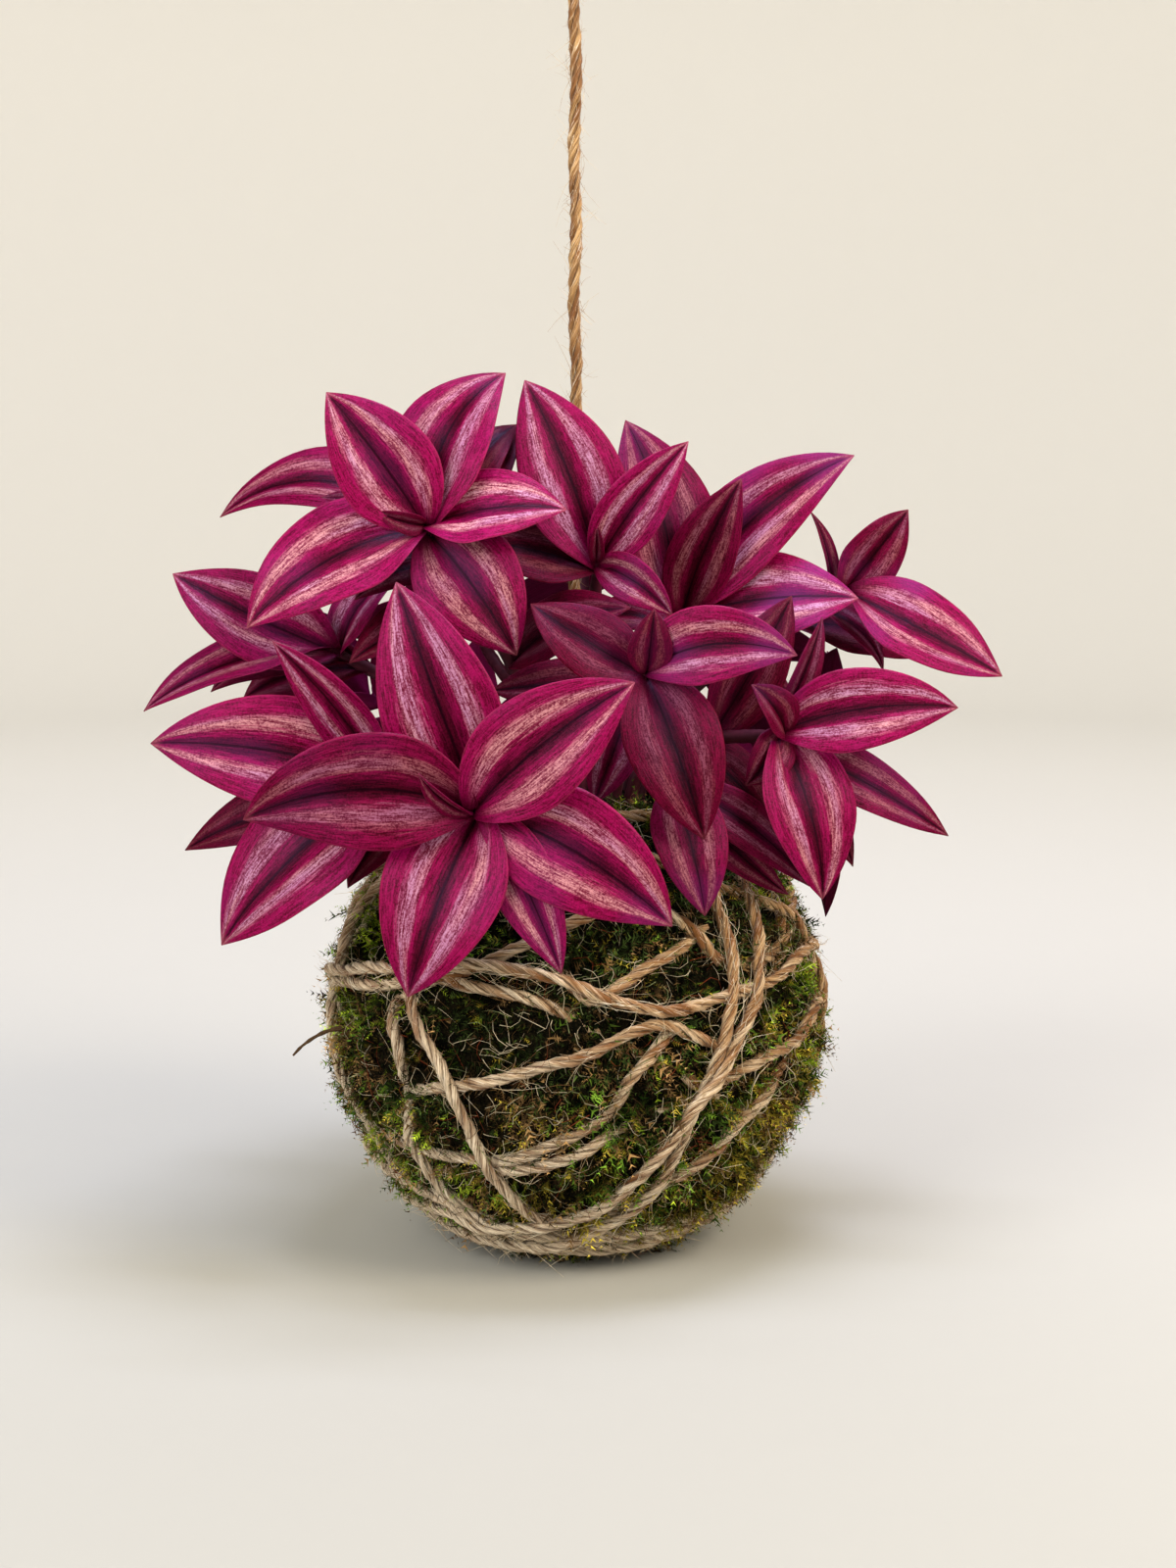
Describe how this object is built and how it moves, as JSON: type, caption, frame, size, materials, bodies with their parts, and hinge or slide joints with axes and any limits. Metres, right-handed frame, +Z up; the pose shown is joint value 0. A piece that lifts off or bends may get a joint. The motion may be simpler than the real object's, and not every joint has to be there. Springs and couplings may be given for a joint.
{
  "type": "kokedama moss ball plant",
  "caption": "Leafy shoots of a striped magenta inch plant rooted in a moss-covered soil ball, bound and hung with jute twine.",
  "frame": {"origin": "centre of the small flat spot under the moss ball", "axes": "+Z up along the hanging twine, -Y towards the viewer in the picture, +X to the viewer's right"},
  "size_m": [0.2004, 0.1609, 0.3294],
  "materials": {
    "soil": "damp, crumbly and matte",
    "moss": "shaggy, matte",
    "jute": "twisted three-ply twine, fuzzy and matte",
    "leaf": "smooth with a satin gloss, striped magenta, maroon and silvery pink"
  },
  "bodies": {
    "root": {"soil_core": "soil", "moss_skin": "moss", "jute_binding": "jute", "hanging_twine": "jute", "hanging_eye": "jute", "leafy_stem_top_left": "leaf", "leafy_stem_top_middle": "leaf", "leafy_stem_top_right": "leaf", "leafy_stem_centre": "leaf", "leafy_stem_front": "leaf", "leafy_stem_left": "leaf", "leafy_stem_low_left": "leaf", "leafy_stem_right": "leaf", "leafy_stem_far_right": "leaf", "leafy_stem_low_right": "leaf", "leafy_stem_back_top_middle": "leaf", "leafy_stem_back_left": "leaf", "leafy_stem_back_top_left": "leaf", "leafy_stem_back_top_right": "leaf", "leafy_stem_back_right": "leaf", "leafy_stem_back_low_left": "leaf", "leafy_stem_back_low_right": "leaf"}
  },
  "joints": []
}
